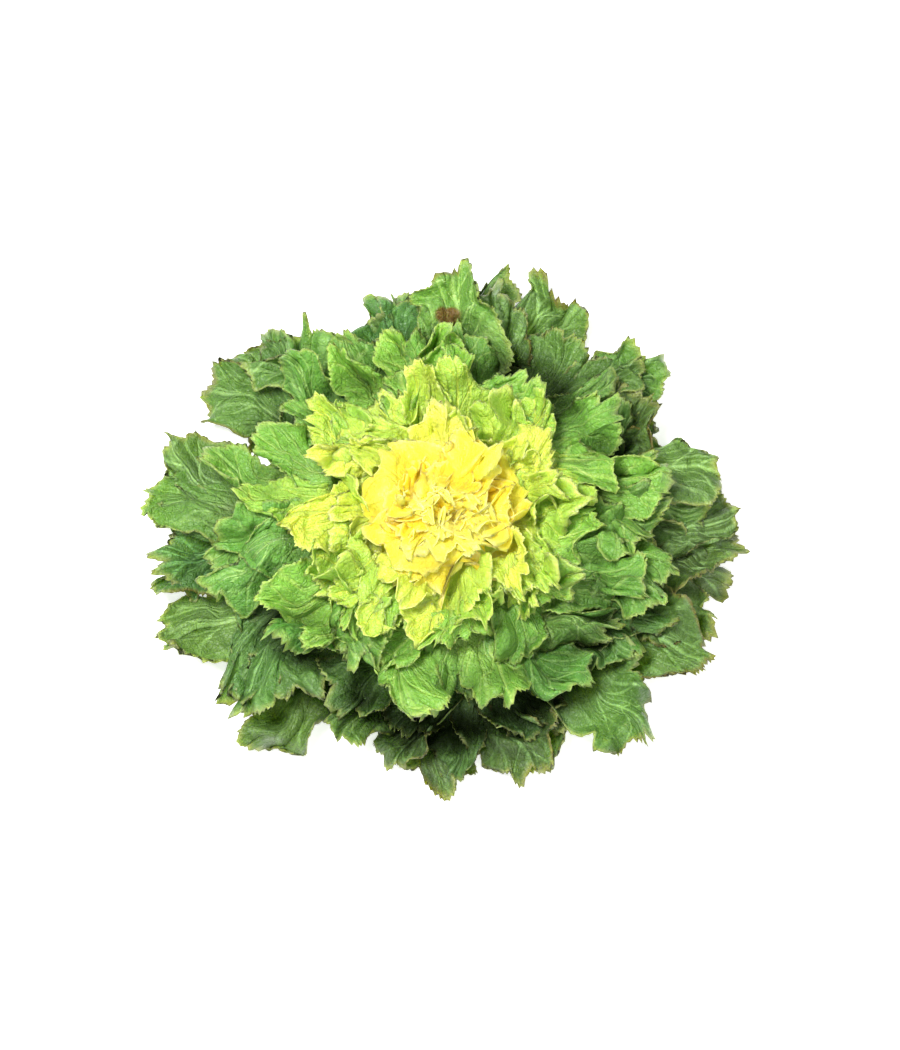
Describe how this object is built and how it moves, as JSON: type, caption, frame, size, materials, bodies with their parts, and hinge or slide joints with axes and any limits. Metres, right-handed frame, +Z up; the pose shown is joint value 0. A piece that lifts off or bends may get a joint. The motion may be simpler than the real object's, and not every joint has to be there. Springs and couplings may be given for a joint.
{
  "type": "curly endive head",
  "caption": "Open head of curly endive: a dome of toothed, ruffled leaves round a pale heart, standing on its cut stem.",
  "frame": {"origin": "middle of the cut face under the stem", "axes": "+Z up along the stem towards the heart, +X to the right in the picture, +Y away from the camera"},
  "size_m": [0.3519, 0.3155, 0.1129],
  "materials": {
    "stem": "cut, matt",
    "outer_leaf": "satin",
    "middle_leaf": "satin",
    "inner_leaf": "satin",
    "heart_leaf": "satin"
  },
  "bodies": {
    "root": {"stem": "stem", "outer_leaves": "outer_leaf", "middle_leaves": "middle_leaf", "inner_leaves": "inner_leaf", "heart_leaves": "heart_leaf"}
  },
  "joints": []
}
